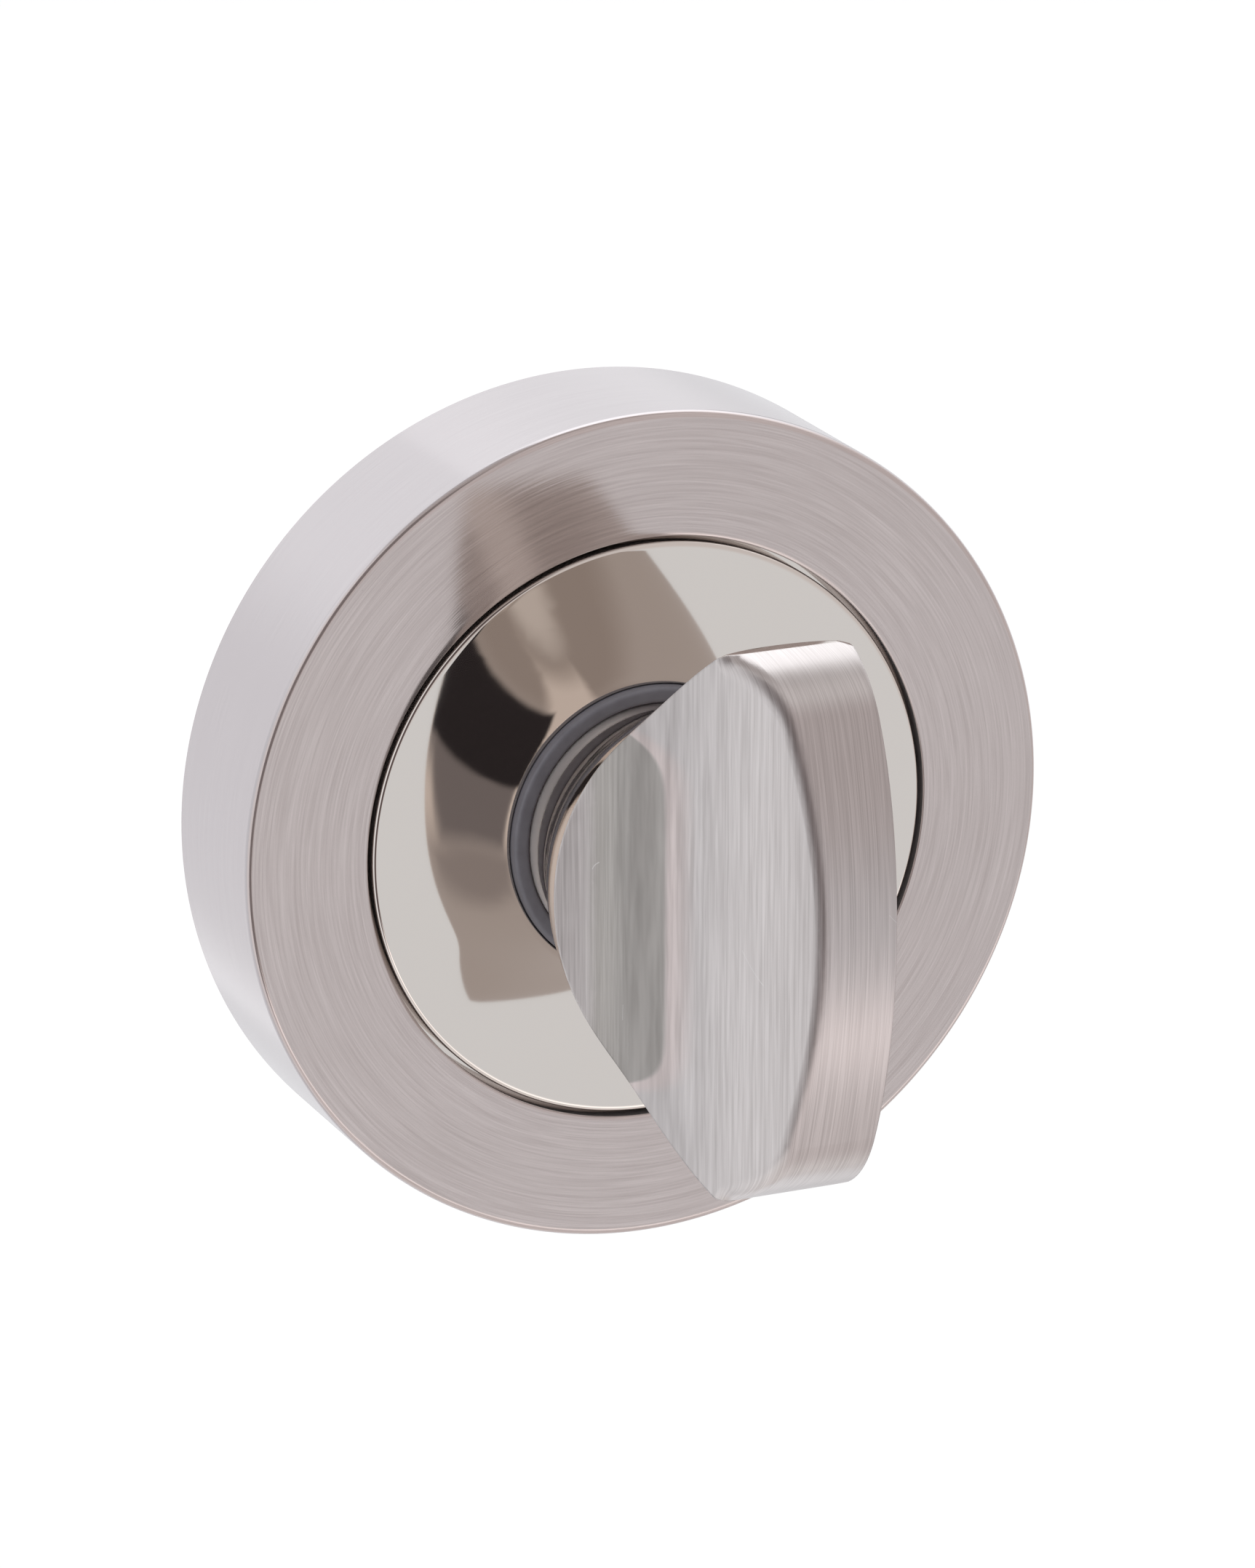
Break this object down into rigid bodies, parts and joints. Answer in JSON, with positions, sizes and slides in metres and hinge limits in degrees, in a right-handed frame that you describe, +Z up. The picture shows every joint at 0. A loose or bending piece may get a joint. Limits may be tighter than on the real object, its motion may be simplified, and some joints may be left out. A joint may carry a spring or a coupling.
{
  "type": "bathroom thumb turn lock",
  "caption": "Bathroom door thumb turn: a scooped, flared oval grip on a round rose with a satin outer cap and a polished centre disc, with a square spindle behind.",
  "frame": {"origin": "point on the turning axis at the door's face, where the rose's back rests", "axes": "-Y out of the door along the turning axis, +Y into the door along the spindle, +Z up, +X to the right seen from the room"},
  "size_m": [0.052, 0.0784, 0.052],
  "materials": {
    "satin_nickel": "circular brushing under a satin nickel plate",
    "polished_nickel": "mirror polished nickel plate",
    "turn_nickel": "polished flare, brushed grip",
    "bush_nylon": "moulded, dull",
    "cast_zinc": "as cast zinc alloy",
    "spring_steel": "oiled spring steel",
    "zinc_plated_steel": "bright zinc plate"
  },
  "bodies": {
    "rose": {"rose_cover": "satin_nickel", "rose_insert": "polished_nickel", "neck_bush": "bush_nylon", "base_plate": "cast_zinc", "thrust_washer": "bush_nylon", "wave_washer": "spring_steel"},
    "turn": {"turn_knob": "turn_nickel", "retaining_ring": "spring_steel", "spindle": "zinc_plated_steel", "grub_screw": "spring_steel"}
  },
  "joints": [
    {"name": "turn", "type": "hinge", "parent": "rose", "child": "turn", "pos_m": [0, 0, 0], "axis": [0, -1, 0], "range_deg": [-90, 90]}
  ]
}
